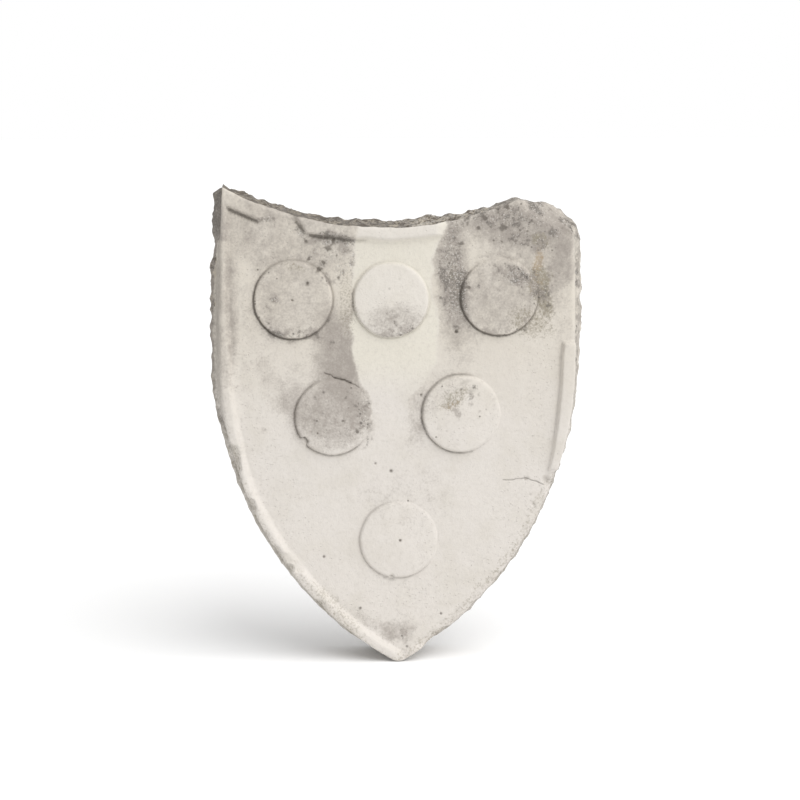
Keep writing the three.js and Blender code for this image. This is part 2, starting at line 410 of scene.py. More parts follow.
def sideX(z):
    rise = z - shape.shoulderZ
    radius = shape.upperSideRadius if rise > 0 else shape.sideRadius
    return shape.halfWidth - radius + math.sqrt(radius * radius - rise * rise)


def topZ(x):
    return shape.topLowZ + shape.topRadius - math.sqrt(shape.topRadius ** 2 - (x - shape.topLowX) ** 2)


breakX = sideX(shape.breakEndZ) - shape.breakRound
breakTopZ = shape.breakEndZ + shape.breakRound
pointZ = shape.shoulderZ - math.sqrt(
    (shape.sideRadius - shape.pointRadius) ** 2 - (shape.halfWidth - shape.sideRadius) ** 2)


def arcPoints(x, z, radius, start, end):
    count = max(2, round(abs(end - start) * radius / shape.stationGap))
    turn = start + (end - start) * np.arange(count) / count
    return np.stack([x + radius * np.cos(turn), z + radius * np.sin(turn)], 1)


def outlineStations():
    # clockwise as seen by someone facing the carving, from the left top corner
    topCentreZ = shape.topLowZ + shape.topRadius
    topTurns = [
        math.atan2(z - topCentreZ, x - shape.topLowX)
        for x, z in ((-sideX(shape.cornerZ), shape.cornerZ), (shape.breakStartX, topZ(shape.breakStartX)))
    ]
    lowX, highX = shape.halfWidth - shape.sideRadius, shape.halfWidth - shape.upperSideRadius
    pointTurn = math.atan2(pointZ - shape.shoulderZ, -lowX)
    breakTurn, cornerTurn = [
        math.asin((z - shape.shoulderZ) / shape.upperSideRadius) for z in (shape.breakEndZ, shape.cornerZ)
    ]
    slant = np.linspace(0, 1, 13)[:-1, None]
    parts = [
        ("top", arcPoints(shape.topLowX, topCentreZ, shape.topRadius, *topTurns)),
        ("broken", np.array([shape.breakStartX, topZ(shape.breakStartX)]) * (1 - slant)
            + np.array([breakX, breakTopZ]) * slant),
        ("broken", arcPoints(breakX, shape.breakEndZ, shape.breakRound, math.pi / 2, 0)),
        ("right", arcPoints(highX, shape.shoulderZ, shape.upperSideRadius, breakTurn, 0)),
        ("right", arcPoints(lowX, shape.shoulderZ, shape.sideRadius, 0, pointTurn)),
        ("point", arcPoints(0, pointZ, shape.pointRadius, pointTurn, -math.pi - pointTurn)),
        ("left", arcPoints(-lowX, shape.shoulderZ, shape.sideRadius, -math.pi - pointTurn, -math.pi)),
        ("left", arcPoints(-highX, shape.shoulderZ, shape.upperSideRadius, math.pi, math.pi - cornerTurn)),
    ]
    places = np.concatenate([points for _, points in parts])
    edge = np.concatenate([[name] * len(points) for name, points in parts])
    after, before = np.roll(places, -1, 0), np.roll(places, 1, 0)
    gaps = np.linalg.norm(after - places, axis=1)
    walked = np.concatenate([[0], np.cumsum(gaps)[:-1]])
    out = np.stack([before[:, 1] - after[:, 1], after[:, 0] - before[:, 0]], 1)
    out = sum(np.roll(out / np.linalg.norm(out, axis=1)[:, None], k, 0) for k in range(-4, 5))
    out = out / np.linalg.norm(out, axis=1)[:, None]
    fromCorner = np.minimum(walked, gaps.sum() - walked)
    x, z = places.T
    return SimpleNamespace(x=x, z=z, out=out, edge=edge, walked=walked, fromCorner=fromCorner)


def insideEdges(x, z):  # how far a place on the face lies inside the left, the right and the top edge
    rise = z - shape.shoulderZ

    def fromSide(px):
        low = shape.sideRadius - np.hypot(px - (shape.halfWidth - shape.sideRadius), rise)
        high = shape.upperSideRadius - np.hypot(px - (shape.halfWidth - shape.upperSideRadius), rise)
        return np.where(rise > 0, high, low)

    left, right = fromSide(-x), fromSide(x)
    below = pointZ - z
    nose = shape.pointRadius - np.hypot(x, below)
    atNose = (below > 0) & (np.abs(x) < 0.607 * below)
    top = np.hypot(x - shape.topLowX, z - (shape.topLowZ + shape.topRadius)) - shape.topRadius
    breakLine = np.interp(x, [shape.breakStartX, breakX], [topZ(shape.breakStartX), breakTopZ]) - z
    breakArc = shape.breakRound - np.hypot(x - breakX, z - shape.breakEndZ)
    atBreak = (x > shape.breakStartX) & (z > shape.breakEndZ)
    top = np.where(atBreak, np.where(x > breakX, breakArc, breakLine), top)
    return np.where(atNose & (x <= 0), nose, left), np.where(atNose & (x > 0), nose, right), top


def borderLevel(x, z, inside):
    sway = 1.2 * patches(x, z, 22, 31, 2)
    gone = patches(x, z, 9, 33)
    stands = {
        "left": 1 - 0.6 * within(*shape.leftCrumbled, 8, z) * ease(-0.4, 0.5, gone),
        "right": within(*shape.rightStands, 2.5, z + sway) + 1 - ease(-4, 4, z + sway - shape.pointStands),
        "top": 1 - ease(-6, 6, x + 3 * sway - shape.topEnd),
    }
    gapStart, gapEnd = shape.topGap
    pastGap = ease(-3, 3, x - gapEnd - 0.85 * inside["top"] + sway)  # the next length starts on a slant
    stands["top"] = stands["top"] * (1 - ease(-6, 6, x + 2 * sway - gapStart) * (1 - pastGap))
    widths = {
        "left": bend(z, shape.leftWidth), "right": bend(z, shape.rightWidth), "top": bend(x, shape.topWidth)
    }
    raised = np.zeros_like(x)
    groove = np.zeros_like(x)
    # painted shadow and dark dirt along the foot of the top border and at the slanted end of its gap
    foot = np.exp(-((inside["top"] - widths["top"] - 0.8) / 2.8) ** 2) * stands["top"]
    slant = np.exp(-((x - gapEnd - 0.85 * inside["top"] + 3) / 4) ** 2) * (1 - ease(15, 21, inside["top"]))
    soil = np.maximum(foot, slant * ease(3, 9, inside["top"]))
    soil = soil * (1 - ease(-60, -44, x)) * ease(4, 8, inside["left"])
    washed = within(*shape.washed, 6, x) * (z > 150)
    atPoint = ease(-240, -260, z)  # the border is softer here
    faded = ease(-75, -20, z)  # and has lost its groove below
    for name, into in inside.items():
        width = widths[name] + 0.5 * sway
        slope = shape.slopeWidth[name] + 3.5 * washed + 5 * atPoint * (name == "right")
        rise = 1 - ease(width - slope, width, into)
        rounded = 0.12 * np.sin(np.pi * np.clip(into / width, 0, 1))
        raised = np.maximum(raised, stands[name] * (rise + rounded))
        cut = shape.grooveShare[name] * (1 - 0.75 * washed) * (1 - atPoint) * faded
        groove = np.maximum(groove, cut * stands[name] * np.exp(-((into - width - 0.6) / 1.2) ** 2))
    return raised, groove * (raised < 0.3), soil


def roundelLevel(x, z):
    level = np.zeros_like(x)
    groove = np.zeros_like(x)
    soil = np.zeros_like(x)
    dustAndShade = np.zeros_like(x)
    on = np.zeros_like(x)
    for number, disc in enumerate(roundels):
        turn = np.arctan2(z - disc.z, x - disc.x)
        wander = 0.45 * patches(20 * np.cos(turn), 20 * np.sin(turn), 7, 50 + number, 2)
        reach = np.hypot(x - disc.x, z - disc.z) + wander
        for which, direction, half, depth in stoneWear["notches"]:
            if which == number:
                apart = np.degrees(np.angle(np.exp(1j * (turn - math.radians(direction)))))
                reach = reach + depth * (1 - ease(0.5 * half, half, np.abs(apart)))
        wornTo = math.radians(disc.wornTo)
        toWorn = (x - disc.x) * math.cos(wornTo) + (z - disc.z) * math.sin(wornTo)
        worn = disc.worn * ease(-0.2, 1, toWorn / disc.radius)
        edge = 3.0 + (1 - disc.crisp) * 1.5 + 5 * worn
        t = np.clip((disc.radius - reach) / edge, 0, 1)
        dome = 0.5 * np.clip(1 - (reach / disc.radius) ** 2, 0, 1)
        cut = np.exp(-((reach - disc.radius - 0.5) / 1.1) ** 2) * disc.crisp * (1 - ease(0, 0.45, worn))
        level += disc.height * (1 - 0.75 * worn) * np.sqrt(1 - (1 - t) ** 2) + dome - 1.1 * cut
        groove = np.maximum(groove, cut)
        # painted shadow along each disc's lower left edge, the side turned from the lamp, with a little dirt
        # all round it, and a wider band of painted shade there
        lowerLeft = ease(-0.6, 1, np.cos(turn - math.radians(222)))
        line = np.exp(-((reach - disc.radius - 0.4) / 1.5) ** 2)
        soil = np.maximum(soil, disc.soiled * (0.1 + lowerLeft) * line)
        spread = np.exp(-((reach - disc.radius + 1) / 7) ** 2) * (0.3 + 0.7 * lowerLeft)
        dustAndShade = np.maximum(dustAndShade, disc.soiled * spread)
        on = np.maximum(on, ease(0, 0.3, t))
    return level, groove, soil, dustAndShade, on


def lineDistance(x, z, corners):
    nearest = np.full(x.shape, 1e9)
    for (x0, z0), (x1, z1) in zip(corners, corners[1:]):
        dx, dz = x1 - x0, z1 - z0
        t = np.clip(((x - x0) * dx + (z - z0) * dz) / (dx * dx + dz * dz), 0, 1)
        nearest = np.minimum(nearest, np.hypot(x - x0 - t * dx, z - z0 - t * dz))
    return nearest


def damage(x, z, inside):  # what chips, pits, cracks and bites take off, and where dirt and painted shade darken the chips, pits and cracks
    taken = np.zeros_like(x)
    dirtAndShade = np.zeros_like(x)
    fray = 0.35 * patches(x, z, 5, 71)
    for atX, atZ, long, wide, tilt, depth in stoneWear["chips"]:
        turn = math.radians(tilt)
        a = ((x - atX) * math.cos(turn) + (z - atZ) * math.sin(turn)) / long
        b = ((z - atZ) * math.cos(turn) - (x - atX) * math.sin(turn)) / wide
        bowl = np.clip(1 - (a * a + b * b) * (1 + fray), 0, 1)
        taken += depth * np.sqrt(bowl)
        dirtAndShade = np.maximum(dirtAndShade, 0.25 * bowl)
    for atX, atZ, radius, depth in stoneWear["pits"]:
        bowl = np.clip(1 - np.hypot(x - atX, z - atZ) / radius, 0, 1)
        taken += depth * np.sqrt(bowl)
        dirtAndShade = np.maximum(dirtAndShade, np.sqrt(bowl))
    wobble = 0.8 * patches(x, z, 6, 77, 1)
    for width, depth, corners in stoneWear["cracks"]:
        notch = np.clip(1 - lineDistance(x + wobble, z + wobble, corners) / width, 0, 1)
        taken += depth * notch
        dirtAndShade = np.maximum(dirtAndShade, notch)
    jag = 1 + 0.45 * patches(x, z, 8, 79)
    bitten = np.zeros_like(x)
    for side, bites in stoneWear["bites"].items():
        for topEnd, length, bite in bites:
            down = (topEnd - z) / length
            into = bite * ease(0, 0.12, down) * (1 - ease(0.15, 1, down)) * jag
            bitten += 1.25 * np.maximum(0, into - inside[side])
    return taken + bitten, dirtAndShade, ease(0.5, 4, bitten)


def faceLevel(x, z):
    left, right, top = insideEdges(x, z)
    edge = np.maximum(0, np.minimum(np.minimum(left, right), top))
    inside = {"left": left, "right": right, "top": top}
    raised, borderGroove, borderSoilAndShadow = borderLevel(x, z, inside)
    discs, discGroove, soil, dustAndShade, onRoundel = roundelLevel(x, z)
    taken, dirtAndShade, bitten = damage(x, z, inside)
    swell = shape.crown * np.maximum(0, 1 - (x / shape.halfWidth) ** 2)
    swell = swell * np.maximum(0, 1 - ((z - shape.crownZ) / shape.crownReach) ** 2)
    past = shape.hollowRadius - np.hypot(x - shape.hollowX, z - shape.hollowZ) + 1.5 * patches(x, z, 16, 61)
    broken = ease(-1, 6, past)
    hollow = shape.hollowSlope * (past + np.sqrt(past * past + 3)) / 2 + broken * 1.3 * patches(x, z, 11, 65)
    # the top right has weathered to a granular skin
    eroded = ease(*shape.erodedX, x + 14 * patches(x, z, 40, 91))
    eroded = eroded * ease(*shape.erodedZ, z + 16 * patches(x, z, 35, 95))
    # the left border is lumpy lower down, and the right one has left a scar there
    lumpy = ease(20, -50, z) * (1 - ease(11, 19, left)) * (1 - 0.55 * ease(-150, -200, z))
    scar = ease(-84, -96, z) * (1 - ease(9, 15, right + 5 * patches(x, z, 20, 101)))
    crumbled = lumpy * layered(x, z, shape.lumpy) + (lumpy + scar) * layered(x, z, shape.crumbly)
    uneven = layered(x, z, shape.uneven)
    grainy = eroded * layered(x, z, shape.grainy)
    rounding = np.clip(2.4 + 3.2 * (1 - raised) + 1.2 * patches(x, z, 12, 21), 1.5, 7)
    t = np.clip(1 - edge / rounding, 0, 0.99)
    rounded = rounding * (1 - np.sqrt(1 - t * t))
    relief = shape.borderHeight * raised * (1 - broken) - shape.grooveDepth * borderGroove + discs
    soil = np.maximum(soil, 0.85 * borderSoilAndShadow * (z > 150))
    level = shape.field + swell + uneven + crumbled + grainy + relief - taken - rounded - hollow
    return level, SimpleNamespace(edge=edge, raised=raised, roundel=onRoundel, dirtAndShade=dirtAndShade, soil=soil,
                                  scar=scar, bitten=bitten, lumpy=lumpy * (1 - ease(3, 9, left)),
                                  dustAndShade=dustAndShade, groove=np.maximum(borderGroove, discGroove))


def circle(x, z, radius, gap):
    count = max(1, round(2 * math.pi * radius / gap))
    turn = 2 * math.pi * np.arange(count) / count
    return np.stack([x + radius * np.cos(turn), z + radius * np.sin(turn)], 1)


def finePoints():  # closer points where pits, cracks and spots are
    found = []
    for x, z, _, _ in stoneWear["pits"]:
        found += [circle(x, z, radius, 0.8) for radius in (0, 0.7, 1.4, 2.2, 3.2)]
    for _, _, corners in stoneWear["cracks"]:
        for (x0, z0), (x1, z1) in zip(corners, corners[1:]):
            length = math.hypot(x1 - x0, z1 - z0)
            t = np.arange(0, 1, 1 / length)[:, None]
            line = np.array([x0, z0]) * (1 - t) + np.array([x1, z1]) * t
            side = np.array([z0 - z1, x1 - x0]) / length
            found += [line + side * offset for offset in (-1.6, -0.8, 0, 0.8, 1.6)]
    for x, z, radius in stoneStains["spots"]:
        found += [circle(x, z, radius * share, 0.9) for share in (0, 0.5, 0.9, 1.3)]
    return np.concatenate(found)


def spacedFrom(points, others, gap):  # the points that keep their distance from the others
    taken = set()
    for x, z in np.round(others / gap).astype(int).tolist():
        taken.update((x + i, z + j) for i in (-1, 0, 1) for j in (-1, 0, 1))
    keep = [(x, z) not in taken for x, z in np.round(points / gap).astype(int).tolist()]
    return points[keep]


def latticePoints(gap, inset):
    rows = np.arange(*shape.latticeZ, gap * math.sqrt(3) / 2)
    columns = np.arange(*shape.latticeX, gap)
    x, z = np.meshgrid(columns, rows)
    x[1::2] += gap / 2
    x, z = x.ravel(), z.ravel()
    inside = np.min(insideEdges(x, z), 0) > inset
    return np.stack([x, z], 1)[inside]


def facePoints(rim, offset):  # close together along the border and round the roundels, wider on the field
    places = []
    for inset in shape.borderInsets:
        ringed = np.stack([rim.x, rim.z], 1) + rim.out * (offset - inset)[:, None]
        inside = np.min(insideEdges(ringed[:, 0], ringed[:, 1]), 0)
        places.append(ringed[inside > inset - offset - 0.4])
    for disc in roundels:
        places += [circle(disc.x, disc.z, disc.radius + step, 1.8) for step in shape.roundelSteps]
    lattice = latticePoints(shape.latticeGap, shape.borderInsets[-1] + 2.4)
    for disc in roundels:
        reach = np.hypot(lattice[:, 0] - disc.x, lattice[:, 1] - disc.z) - disc.radius
        lattice = lattice[(reach < shape.roundelSteps[0] - 1) | (reach > shape.roundelSteps[-1] + 1)]
    fine = finePoints()
    return np.concatenate([spacedFrom(np.concatenate(places + [lattice]), fine, 0.9), fine])


def sheet(ring, inner, forward):  # triangles over a ring and the points inside it
    points = [Vector(place) for place in np.concatenate([ring, inner]).tolist()]
    made = delaunay_2d_cdt(points, [], [list(reversed(range(len(ring))))], 0, 1e-6, True)
    places = np.array([tuple(place) for place in made[0]])
    triangles = np.array([triangle for triangle, owners in zip(made[2], made[5]) if owners])
    a, b, c = [places[triangles[:, k]] for k in range(3)]
    turn = (b[:, 0] - a[:, 0]) * (c[:, 1] - a[:, 1]) - (b[:, 1] - a[:, 1]) * (c[:, 0] - a[:, 0])
    wrong = (turn > 0) != forward
    triangles[wrong] = triangles[wrong][:, ::-1]
    return triangles


def flareAt(rim):  # how far the rough stone stands out past the face at each station
    clear = ease(0, np.where(rim.edge == "left", 12, 34), rim.fromCorner)
    clear = clear * np.where(rim.z > 0, 1, ease(4, 60, np.abs(rim.x)))
    side = np.where(rim.x < 0, bend(rim.z, shape.flareLeft), bend(rim.z, shape.flareRight))
    top = shape.flareTop * (1 - ease(60, 130, rim.x))
    broken = shape.flareBroken * (1 - ease(shape.breakEndZ, breakTopZ, rim.z))
    return np.where(rim.edge == "top", top * clear, np.where(rim.edge == "broken", broken, side * clear))


def rimOffset(rim):  # how far the worn edge of the face strays from its outline
    ragged = np.where((rim.edge == "top") | (rim.edge == "broken"), 1.4, np.where(rim.x > 0, 1.0, 0.6))
    brokenAway = (rim.edge == "right") & (rim.z < shape.rightStands[0]) | (rim.edge == "point")
    ragged = np.where(brokenAway, shape.raggedEdge, ragged)
    shoulder = shape.leftShoulder * (rim.edge == "left") * within(*shape.shoulderSpan, 12, rim.z)
    return shoulder + ragged * (patches(rim.x, rim.z, 13, 111) - 0.3) + 0.3 * patches(rim.x, rim.z, 4, 115)


def sideRings(rim, rimLevel, atFront):
    # rings of points from just behind the face's edge back to the bed, over the chiselled sides
    flare = flareAt(rim)  # dies out at the sharp corner and at the point
    rough = np.where(rim.x < 0, bend(rim.z, shape.roughLeft), bend(rim.z, shape.roughRight))
    rough = np.where(rim.edge == "top", 1, rough)
    boulder = shape.boulder * (rim.edge == "top") * ease(0, 30, rim.fromCorner)
    for back in shape.sideRows:
        level = rimLevel * (1 - back)
        along, up = rim.walked, level + 4 * patches(rim.walked, level, 30, 121, 2)
        hewn = scoops(along, up, *shape.scoops, 131)
        coarse = shape.scoopDepth * (0.55 - hewn)
        small = shape.smallDepth * (0.5 - scoops(along, up, *shape.smallScoops, 141))
        crumbs = shape.crumbDepth * lumps(rim.x, level, rim.z, 6, 151, 3)
        into = ease(*shape.roughStart, rimLevel - level)
        arris = shape.backArris * ease(0.955, 1, back) * rough
        offset = flare * bend(level, shape.flareByLevel) * into + atFront * (1 - 0.5 * into)
        offset = offset - (coarse + small + crumbs + 0.8) * into * rough - arris
        heaped = np.maximum(0, lumps(rim.x, level, rim.z, shape.boulderSize, 171, 2))
        offset = offset + boulder * into * heaped
        offset = np.maximum(offset, -0.25 * rim.fromCorner)  # the two sides of the corner stay apart
        place = np.stack([rim.x + rim.out[:, 0] * offset, -level, rim.z + rim.out[:, 1] * offset], 1)
        place[:, 2] -= shape.cornerDrop * into * (1 - ease(0, shape.cornerReach, rim.fromCorner))
        yield place, hewn * into


def backFurrows(x, z):  # shallow furrows of the point, cut on a slant over the bed
    return scoops(x, z, *shape.backFurrows, 161)


def backLevel(x, z):
    return shape.backFurrow * (0.7 - backFurrows(x, z)) + 0.3 * (1 + patches(x, z, 9, 165))


def shieldMesh():
    rim = outlineStations()
    offset = rimOffset(rim)
    ring = np.stack([rim.x, rim.z], 1) + rim.out * offset[:, None]
    inner = facePoints(rim, offset)
    x, z = np.concatenate([ring, inner]).T
    level, masks = faceLevel(x, z)
    points = [np.stack([x, -level, z], 1)]
    ridges = [np.zeros_like(x)]
    behind = [np.zeros_like(x)]
    underTop = [np.zeros_like(x)]
    faces = [sheet(ring, inner, True)]
    count = len(ring)
    walk = np.arange(count)
    before, start = walk, len(x)
    for place, ridge in sideRings(rim, level[:count], offset):
        points.append(place)
        ridges.append(ridge)
        behind.append(level[:count] + place[:, 1])
        underTop.append((rim.edge == "top") * (1 - ease(85, 132, rim.x)))
        here = start + walk
        faces.append(np.stack([before, np.roll(before, -1), here], 1))
        faces.append(np.stack([np.roll(before, -1), np.roll(here, -1), here], 1))
        before = here
        start += count
    inner = latticePoints(shape.backGap, shape.backInset)
    points.append(np.stack([inner[:, 0], -backLevel(inner[:, 0], inner[:, 1]), inner[:, 1]], 1))
    ridges.append(backFurrows(inner[:, 0], inner[:, 1]))
    behind.append(np.full(len(inner), 100.0))
    underTop.append(np.zeros(len(inner)))
    faces.append(sheet(points[-2][:, [0, 2]], inner, False) + start - count)
    masks.ridge, masks.behind, masks.underTop = [np.concatenate(part) for part in (ridges, behind, underTop)]
    return np.concatenate(points), np.concatenate(faces), masks


points, faces, masks = shieldMesh()
print("stone worked out:", len(points), "points,", len(faces), "triangles")


# Where weather and dirt have coloured the stone, and where shade is painted on it. Each of these becomes a
# value from 0 to 1 on the mesh.

def blot(x, z, atX, atZ, halfX, halfZ, tilt, soft=0.45):
    turn = math.radians(tilt)
    a = ((x - atX) * math.cos(turn) + (z - atZ) * math.sin(turn)) / halfX
    b = ((z - atZ) * math.cos(turn) - (x - atX) * math.sin(turn)) / halfZ
    return 1 - ease(1 - soft, 1 + soft, np.hypot(a, b))


def blots(x, z, name):
    clear = np.ones_like(x)
    for *place, strength in stoneStains[name]:
        clear = clear * (1 - strength * blot(x, z, *place))
    return 1 - clear


def washedBand(x, z):
    sway = 4 * patches(x, z, 13, 201)
    left = ease(-3, 3, x - bend(z, stoneStains["bandLeft"]) + sway)
    right = 1 - ease(-3, 3, x - bend(z, stoneStains["bandRight"]) + sway)
    return left * right * ease(-60, -5, z)


def stains():
    x, level, z = points[:, 0], -points[:, 1], points[:, 2]
    onFace = len(masks.edge)
    hewn = (np.arange(len(points)) >= onFace) * 1.0
    spare = np.zeros(len(points) - onFace)
    soil, dustAndShade, groove, dirtAndShade, bitten, raised, roundel, scar, lumpy = [
        np.concatenate([mask, spare]) for mask in (
            masks.soil, masks.dustAndShade, masks.groove, masks.dirtAndShade, masks.bitten, masks.raised, masks.roundel,
            masks.scar, masks.lumpy)
    ]
    swayX = x + 8 * patches(x, z, 26, 211, 4)
    swayZ = z + 8 * patches(x, z, 26, 221, 4)
    band = washedBand(x, z) * (1 - hewn)
    cloudy = 0.5 + 0.5 * lumps(x, level, z, 26, 231, 4)
    fleck = 0.5 + 0.5 * lumps(x, level, z, 9, 241, 3)
    high = ease(-60, 120, z)
    lowRoundel = roundel * ease(132, 112, z + 8 * patches(x, z, 18, 251))
    washed = band * (1 - lowRoundel)
    left = 1 - ease(-30, 30, x)
    frontHalf = 1 - ease(45, 75, masks.behind)
    # sides: dark at the top left, partly the stone's colour and partly painted shade on the side turned from
    # the lamp; pale just behind the edge of the face lower down
    nearEdge = (1 - ease(4, 8, masks.behind + 4 * (fleck - 0.5))) * ease(-40, 0, z + 25 * (x > 0))
    sooty = hewn * ease(180, 215, z) * (0.25 + 0.75 * left * frontHalf)
    sides = hewn * (0.3 + 0.9 * high * left * frontHalf) * (0.6 + 0.8 * cloudy)
    sides = sides * (1 - 0.85 * nearEdge * (z < 205))
    grey = blots(swayX, swayZ, "grey") * (1 - washed) * (1 - 0.35 * raised * (z < 190))
    lichen = blots(swayX, swayZ, "lichen") * (1 - 0.9 * washed)
    lichen = lichen * (1 - hewn) + hewn * high * (0.3 + 0.5 * fleck) * (1 - 0.8 * nearEdge * (z < 200))
    spots = np.zeros_like(x)
    uneven = 1 + 0.7 * patches(x, z, 3.5, 261, 2)
    for atX, atZ, radius in stoneStains["spots"]:
        spots = np.maximum(spots, 1 - ease(0.6, 1.25, np.hypot(x - atX, z - atZ) / radius * uneven))
    bumps = 0.5 + 0.5 * lumps(x, level, z, 13, 171, 3)
    brown = hewn * masks.underTop * (0.35 + 0.6 * bumps) + hewn * left * blots(x, z, "brownSide") * fleck
    darkSide = hewn * blots(x, z, "darkSide") * (1 - ease(10, 22, masks.behind + 10 * fleck))
    found = {
        "hewn": hewn,
        # the bites are greyed here and made olive below: their own grey-green, with painted shade on the
        # broken facets
        "grey": grey * (1 - hewn) + sides * (1 - 0.6 * masks.underTop) + sooty + 0.12 * lumpy + 0.2 * bitten,
        # the last term paints shade, with some dust, round the lower left of the roundels
        "lichen": lichen + 0.9 * sooty + 0.15 * hewn * masks.underTop * fleck + 0.8 * darkSide
            + 0.4 * dustAndShade * (1 - washed) * ease(-60, 60, z),
        "cream": band * ease(0, 60, z) * (1 - 0.7 * raised) * (1 - 0.7 * roundel),
        "beige": high * (1 - band) * (0.6 + 0.6 * cloudy),
        "olive": blots(swayX, swayZ, "olive") * (1 - hewn) + hewn * 0.8 * (1 - high) * (1 - nearEdge) * fleck
            + 0.4 * scar * fleck + 0.25 * lumpy * fleck + 0.3 * bitten,
        "rust": blots(swayX, swayZ, "rust") * (1 - hewn),
        # painted shadow along the lower left of the roundels and under the top border, with some dirt
        "soil": soil * (0.35 + 0.65 * ease(-90, 90, z)) * (1 - 0.7 * washed),
        # grooves, cracks and pits darkened with painted shade and dirt, and the stone's dark spots
        "grime": 0.5 * groove * (1 - 0.7 * washed) + dirtAndShade + 0.9 * spots * (1 - hewn) + 0.6 * sooty * left,
        "brown": brown,
        "ridge": masks.ridge / 0.6,
    }
    return {name: np.clip(values, 0, 1) for name, values in found.items()}


marks = stains()
print("stains laid on:", ", ".join(marks))


class Wire:
    # wraps one socket of the material, so that sums of sockets read as sums
    tree = None

    def __init__(self, socket):
        self.socket = socket

    @classmethod
    def node(cls, kind, settings=None, inputs=None, output=0):
        made = cls.tree.nodes.new("ShaderNode" + kind)
        for name, value in (settings or {}).items():
            if name == "stops":
                ramp = made.color_ramp
                while len(ramp.elements) < len(value):
                    ramp.elements.new(0.5)
                for element, (at, colour) in zip(ramp.elements, value):
                    element.position = at
                    element.color = (*colour, 1)
            else:
                setattr(made, name, value)
        for name, value in (inputs or {}).items():
            if isinstance(value, Wire):
                cls.tree.links.new(value.socket, made.inputs[name])
            else:
                made.inputs[name].default_value = value
        return cls(made.outputs[output]) if len(made.outputs) else None

    def maths(self, operation, *values):
        return Wire.node("Math", {"operation": operation}, dict(enumerate((self, *values))))

    def __add__(self, other):
        return self.maths("ADD", other)

    def __sub__(self, other):
        return self.maths("SUBTRACT", other)

    def __rsub__(self, other):
        return Wire.node("Math", {"operation": "SUBTRACT"}, {0: other, 1: self})

    def __mul__(self, other):
        return self.maths("MULTIPLY", other)

    __radd__ = __add__
    __rmul__ = __mul__


def tinted(under, over, share):  # one colour laid over another
    return Wire.node("Mix", {"data_type": "RGBA"}, {0: share, 6: under, 7: over}, 2)


def rising(value, low, high):
    return Wire.node("MapRange", {"interpolation_type": "SMOOTHSTEP"}, {0: value, 1: low, 2: high})


def mark(name):  # one of the values laid on the mesh
    return Wire.node("Attribute", {"attribute_name": name}, output=2)


stoneFinish = {
    "clean": (0.65, 0.612, 0.568, 1),
    "warm": (0.615, 0.577, 0.525, 1),
    "cream": (0.67, 0.635, 0.55, 1),
    "beige": (0.60, 0.555, 0.485, 1),
    "shade": (0.50, 0.465, 0.42, 1),
    "fleck": (0.78, 0.755, 0.71, 1),
    "grey": (0.318, 0.285, 0.255, 1),
    "darkGrey": (0.165, 0.149, 0.131, 1),
    "lichen": (0.095, 0.086, 0.076, 1),
    "olive": (0.28, 0.25, 0.195, 1),
    "rust": (0.36, 0.28, 0.19, 1),
    "brown": (0.115, 0.092, 0.069, 1),
    "crumb": (0.47, 0.42, 0.345, 1),
    "grime": (0.12, 0.105, 0.088, 1),
    "roughness": (0.82, 0.96),
    "grainDepth": 0.0011,
}


